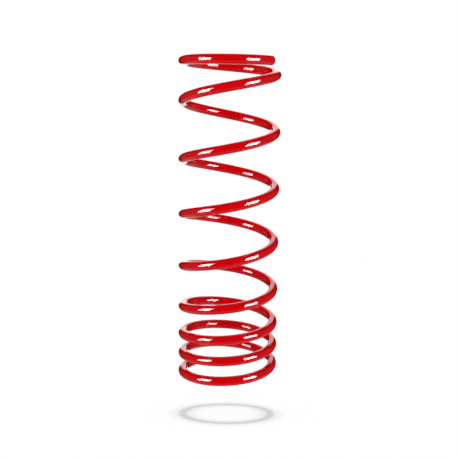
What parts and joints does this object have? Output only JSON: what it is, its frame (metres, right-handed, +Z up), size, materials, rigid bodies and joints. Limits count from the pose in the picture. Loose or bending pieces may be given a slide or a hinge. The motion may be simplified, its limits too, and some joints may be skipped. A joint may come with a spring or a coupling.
{
  "type": "coil spring",
  "caption": "Red painted car suspension coil spring of round bar, closed at the top and close-wound at the bottom, carrying the body over a wheel.",
  "frame": {"origin": "on the coil's axis, level with the lowest point of the bar, which is where the lower seat is", "axes": "+Z up along the coil's axis from the close coils to the closed end coil, +X to the right and -Y towards the viewer of the picture"},
  "size_m": [0.14, 0.1401, 0.4496],
  "materials": {
    "painted_bar": "gloss red coating"
  },
  "bodies": {
    "lower_end_coil": {"coil_1_left": "painted_bar", "coil_1_front": "painted_bar", "coil_1_right": "painted_bar"},
    "coil_1_back": {"coil_1_back": "painted_bar"},
    "coil_2_left": {"coil_2_left": "painted_bar"},
    "coil_2_front": {"coil_2_front": "painted_bar"},
    "coil_2_right": {"coil_2_right": "painted_bar"},
    "coil_2_back": {"coil_2_back": "painted_bar"},
    "coil_3_left": {"coil_3_left": "painted_bar"},
    "coil_3_front": {"coil_3_front": "painted_bar"},
    "coil_3_right": {"coil_3_right": "painted_bar"},
    "coil_3_back": {"coil_3_back": "painted_bar"},
    "coil_4_left": {"coil_4_left": "painted_bar"},
    "coil_4_front": {"coil_4_front": "painted_bar"},
    "coil_4_right": {"coil_4_right": "painted_bar"},
    "coil_4_back": {"coil_4_back": "painted_bar"},
    "coil_5_left": {"coil_5_left": "painted_bar"},
    "coil_5_front": {"coil_5_front": "painted_bar"},
    "coil_5_right": {"coil_5_right": "painted_bar"},
    "coil_5_back": {"coil_5_back": "painted_bar"},
    "coil_6_left": {"coil_6_left": "painted_bar"},
    "coil_6_front": {"coil_6_front": "painted_bar"},
    "coil_6_right": {"coil_6_right": "painted_bar"},
    "coil_6_back": {"coil_6_back": "painted_bar"},
    "coil_7_left": {"coil_7_left": "painted_bar"},
    "coil_7_front": {"coil_7_front": "painted_bar"},
    "coil_7_right": {"coil_7_right": "painted_bar"},
    "coil_7_back": {"coil_7_back": "painted_bar"},
    "coil_8_left": {"coil_8_left": "painted_bar"},
    "coil_8_front": {"coil_8_front": "painted_bar"},
    "coil_8_right": {"coil_8_right": "painted_bar"},
    "coil_8_back": {"coil_8_back": "painted_bar"},
    "upper_end_coil": {"coil_9_left": "painted_bar", "coil_9_front": "painted_bar"}
  },
  "joints": [
    {"name": "twist_below_coil_1_back", "type": "hinge", "parent": "lower_end_coil", "child": "coil_1_back", "pos_m": [0.0449, 0.0449, 0.02419], "axis": [0, -1, 0], "range_deg": [-0.3, 2.82], "stiffness_Nm_per_rad": 2190},
    {"name": "twist_below_coil_2_left", "type": "hinge", "parent": "coil_1_back", "child": "coil_2_left", "pos_m": [-0.0449, 0.0449, 0.03165], "axis": [0.6896, 0.724, -0.0152], "range_deg": [-0.3, 3.78], "stiffness_Nm_per_rad": 2190},
    {"name": "twist_below_coil_2_front", "type": "hinge", "parent": "coil_2_left", "child": "coil_2_front", "pos_m": [-0.0449, -0.0449, 0.03892], "axis": [-0.7287, 0.6847, -0.0144], "range_deg": [-0.3, 3.6], "stiffness_Nm_per_rad": 2190},
    {"name": "close_coils_squeeze", "type": "hinge", "parent": "coil_2_front", "child": "coil_2_right", "pos_m": [0.0449, -0.0449, 0.04596], "axis": [-0.6883, -0.7253, -0.0136], "range_deg": [0, 3.11], "stiffness_Nm_per_rad": 2190},
    {"name": "twist_below_coil_2_back", "type": "hinge", "parent": "coil_2_right", "child": "coil_2_back", "pos_m": [0.0449, 0.0449, 0.05282], "axis": [0.6629, -0.7486, -0.014], "range_deg": [-0.3, 3.53], "stiffness_Nm_per_rad": 2190},
    {"name": "twist_below_coil_3_left", "type": "hinge", "parent": "coil_2_back", "child": "coil_3_left", "pos_m": [-0.0449, 0.0449, 0.06011], "axis": [0.7511, 0.66, -0.0159], "range_deg": [-0.3, 3.96], "stiffness_Nm_per_rad": 2190},
    {"name": "twist_below_coil_3_front", "type": "hinge", "parent": "coil_3_left", "child": "coil_3_front", "pos_m": [-0.0449, -0.0449, 0.06803], "axis": [-1, 0, 0], "range_deg": [-0.3, 3.05], "stiffness_Nm_per_rad": 2190},
    {"name": "twist_below_coil_3_right", "type": "hinge", "parent": "coil_3_front", "child": "coil_3_right", "pos_m": [0.0449, -0.0449, 0.07663], "axis": [-1, 0, 0], "range_deg": [-0.3, 2.84], "stiffness_Nm_per_rad": 2190},
    {"name": "twist_below_coil_3_back", "type": "hinge", "parent": "coil_3_right", "child": "coil_3_back", "pos_m": [0.0449, 0.0449, 0.08631], "axis": [0.4759, -0.8793, -0.0195], "range_deg": [-0.3, 5.63], "stiffness_Nm_per_rad": 2190},
    {"name": "twist_below_coil_4_left", "type": "hinge", "parent": "coil_3_back", "child": "coil_4_left", "pos_m": [-0.0449, 0.0449, 0.09719], "axis": [0.7571, 0.6526, -0.031], "range_deg": [-0.3, 7.48], "stiffness_Nm_per_rad": 2190},
    {"name": "twist_below_coil_4_front", "type": "hinge", "parent": "coil_4_left", "child": "coil_4_front", "pos_m": [-0.0449, -0.0449, 0.10925], "axis": [-0.6598, 0.7506, -0.0356], "range_deg": [-0.3, 8.53], "stiffness_Nm_per_rad": 2190},
    {"name": "twist_below_coil_4_right", "type": "hinge", "parent": "coil_4_front", "child": "coil_4_right", "pos_m": [0.0449, -0.0449, 0.1225], "axis": [-0.7456, -0.6652, -0.0403], "range_deg": [-0.3, 9.59], "stiffness_Nm_per_rad": 2190},
    {"name": "twist_below_coil_4_back", "type": "hinge", "parent": "coil_4_right", "child": "coil_4_back", "pos_m": [0.0449, 0.0449, 0.13694], "axis": [0.6695, -0.7414, -0.0449], "range_deg": [-0.3, 10.63], "stiffness_Nm_per_rad": 2190},
    {"name": "twist_below_coil_5_left", "type": "hinge", "parent": "coil_4_back", "child": "coil_5_left", "pos_m": [-0.0449, 0.0449, 0.15257], "axis": [0.738, 0.6729, -0.0495], "range_deg": [-0.3, 11.68], "stiffness_Nm_per_rad": 2190},
    {"name": "twist_below_coil_5_front", "type": "hinge", "parent": "coil_5_left", "child": "coil_5_front", "pos_m": [-0.0449, -0.0449, 0.16938], "axis": [-0.6768, 0.7341, -0.054], "range_deg": [-0.3, 12.7], "stiffness_Nm_per_rad": 2190},
    {"name": "twist_below_coil_5_right", "type": "hinge", "parent": "coil_5_front", "child": "coil_5_right", "pos_m": [0.0449, -0.0449, 0.18734], "axis": [-0.7159, -0.6959, -0.0571], "range_deg": [-0.3, 13.38], "stiffness_Nm_per_rad": 2190},
    {"name": "twist_below_coil_5_back", "type": "hinge", "parent": "coil_5_right", "child": "coil_5_back", "pos_m": [0.0449, 0.0449, 0.20573], "axis": [0.702, -0.7098, -0.0582], "range_deg": [-0.3, 13.63], "stiffness_Nm_per_rad": 2190},
    {"name": "twist_below_coil_6_left", "type": "hinge", "parent": "coil_5_back", "child": "coil_6_left", "pos_m": [-0.0449, 0.0449, 0.22428], "axis": [0.7097, 0.7021, -0.0589], "range_deg": [-0.3, 13.78], "stiffness_Nm_per_rad": 2190},
    {"name": "open_coils_squeeze", "type": "hinge", "parent": "coil_6_left", "child": "coil_6_front", "pos_m": [-0.0449, -0.0449, 0.24299], "axis": [-0.7021, 0.7096, -0.0595], "range_deg": [0, 13.62], "stiffness_Nm_per_rad": 2190},
    {"name": "twist_below_coil_6_right", "type": "hinge", "parent": "coil_6_front", "child": "coil_6_right", "pos_m": [0.0449, -0.0449, 0.26187], "axis": [-0.7096, -0.7021, -0.0601], "range_deg": [-0.3, 14.06], "stiffness_Nm_per_rad": 2190},
    {"name": "twist_below_coil_6_back", "type": "hinge", "parent": "coil_6_right", "child": "coil_6_back", "pos_m": [0.0449, 0.0449, 0.28092], "axis": [0.7021, -0.7095, -0.0608], "range_deg": [-0.3, 14.21], "stiffness_Nm_per_rad": 2190},
    {"name": "twist_below_coil_7_left", "type": "hinge", "parent": "coil_6_back", "child": "coil_7_left", "pos_m": [-0.0449, 0.0449, 0.30013], "axis": [0.7094, 0.7021, -0.0614], "range_deg": [-0.3, 14.36], "stiffness_Nm_per_rad": 2190},
    {"name": "twist_below_coil_7_front", "type": "hinge", "parent": "coil_7_left", "child": "coil_7_front", "pos_m": [-0.0449, -0.0449, 0.31952], "axis": [-0.7021, 0.7093, -0.062], "range_deg": [-0.3, 14.5], "stiffness_Nm_per_rad": 2190},
    {"name": "twist_below_coil_7_right", "type": "hinge", "parent": "coil_7_front", "child": "coil_7_right", "pos_m": [0.0449, -0.0449, 0.33906], "axis": [-0.7093, -0.7021, -0.0627], "range_deg": [-0.3, 14.64], "stiffness_Nm_per_rad": 2190},
    {"name": "twist_below_coil_7_back", "type": "hinge", "parent": "coil_7_right", "child": "coil_7_back", "pos_m": [0.0449, 0.0449, 0.35878], "axis": [0.7021, -0.7092, -0.0633], "range_deg": [-0.3, 14.79], "stiffness_Nm_per_rad": 2190},
    {"name": "twist_below_coil_8_left", "type": "hinge", "parent": "coil_7_back", "child": "coil_8_left", "pos_m": [-0.0449, 0.0449, 0.37866], "axis": [0.7092, 0.7022, -0.0639], "range_deg": [-0.3, 14.93], "stiffness_Nm_per_rad": 2190},
    {"name": "twist_below_coil_8_front", "type": "hinge", "parent": "coil_8_left", "child": "coil_8_front", "pos_m": [-0.0449, -0.0449, 0.39871], "axis": [-0.7692, 0.6364, -0.0579], "range_deg": [-0.3, 13.8], "stiffness_Nm_per_rad": 2190},
    {"name": "twist_below_coil_8_right", "type": "hinge", "parent": "coil_8_front", "child": "coil_8_right", "pos_m": [0.0449, -0.0449, 0.41747], "axis": [-0.4895, -0.8712, -0.0369], "range_deg": [-0.3, 10.18], "stiffness_Nm_per_rad": 2190},
    {"name": "twist_below_coil_8_back", "type": "hinge", "parent": "coil_8_right", "child": "coil_8_back", "pos_m": [0.0449, 0.0449, 0.43121], "axis": [0.9529, -0.303, -0.0128], "range_deg": [-0.3, 5.39], "stiffness_Nm_per_rad": 2190},
    {"name": "twist_below_upper_end_coil", "type": "hinge", "parent": "coil_8_back", "child": "upper_end_coil", "pos_m": [-0.0449, 0.0449, 0.43973], "axis": [0, 1, 0], "range_deg": [-0.3, 1.84], "stiffness_Nm_per_rad": 2190}
  ],
  "couplings": [
    {"joint": "twist_below_coil_1_back", "follows": "close_coils_squeeze", "ratio": 0.81053},
    {"joint": "twist_below_coil_2_left", "follows": "close_coils_squeeze", "ratio": 1.1193},
    {"joint": "twist_below_coil_2_front", "follows": "close_coils_squeeze", "ratio": 1.0592},
    {"joint": "twist_below_coil_2_back", "follows": "close_coils_squeeze", "ratio": 1.0384},
    {"joint": "twist_below_coil_3_left", "follows": "close_coils_squeeze", "ratio": 1.1777},
    {"joint": "twist_below_coil_3_front", "follows": "close_coils_squeeze", "ratio": 0.88471},
    {"joint": "twist_below_coil_3_right", "follows": "open_coils_squeeze", "ratio": 0.1863},
    {"joint": "twist_below_coil_3_back", "follows": "open_coils_squeeze", "ratio": 0.39126},
    {"joint": "twist_below_coil_4_left", "follows": "open_coils_squeeze", "ratio": 0.52689},
    {"joint": "twist_below_coil_4_front", "follows": "open_coils_squeeze", "ratio": 0.60438},
    {"joint": "twist_below_coil_4_right", "follows": "open_coils_squeeze", "ratio": 0.68166},
    {"joint": "twist_below_coil_4_back", "follows": "open_coils_squeeze", "ratio": 0.75869},
    {"joint": "twist_below_coil_5_left", "follows": "open_coils_squeeze", "ratio": 0.83542},
    {"joint": "twist_below_coil_5_front", "follows": "open_coils_squeeze", "ratio": 0.91037},
    {"joint": "twist_below_coil_5_right", "follows": "open_coils_squeeze", "ratio": 0.95998},
    {"joint": "twist_below_coil_5_back", "follows": "open_coils_squeeze", "ratio": 0.97872},
    {"joint": "twist_below_coil_6_left", "follows": "open_coils_squeeze", "ratio": 0.98936},
    {"joint": "twist_below_coil_6_right", "follows": "open_coils_squeeze", "ratio": 1.0106},
    {"joint": "twist_below_coil_6_back", "follows": "open_coils_squeeze", "ratio": 1.0213},
    {"joint": "twist_below_coil_7_left", "follows": "open_coils_squeeze", "ratio": 1.0319},
    {"joint": "twist_below_coil_7_front", "follows": "open_coils_squeeze", "ratio": 1.0425},
    {"joint": "twist_below_coil_7_right", "follows": "open_coils_squeeze", "ratio": 1.0531},
    {"joint": "twist_below_coil_7_back", "follows": "open_coils_squeeze", "ratio": 1.0637},
    {"joint": "twist_below_coil_8_left", "follows": "open_coils_squeeze", "ratio": 1.0742},
    {"joint": "twist_below_coil_8_front", "follows": "open_coils_squeeze", "ratio": 0.99124},
    {"joint": "twist_below_coil_8_right", "follows": "open_coils_squeeze", "ratio": 0.72569},
    {"joint": "twist_below_coil_8_back", "follows": "open_coils_squeeze", "ratio": 0.37349},
    {"joint": "twist_below_upper_end_coil", "follows": "open_coils_squeeze", "ratio": 0.11322}
  ]
}
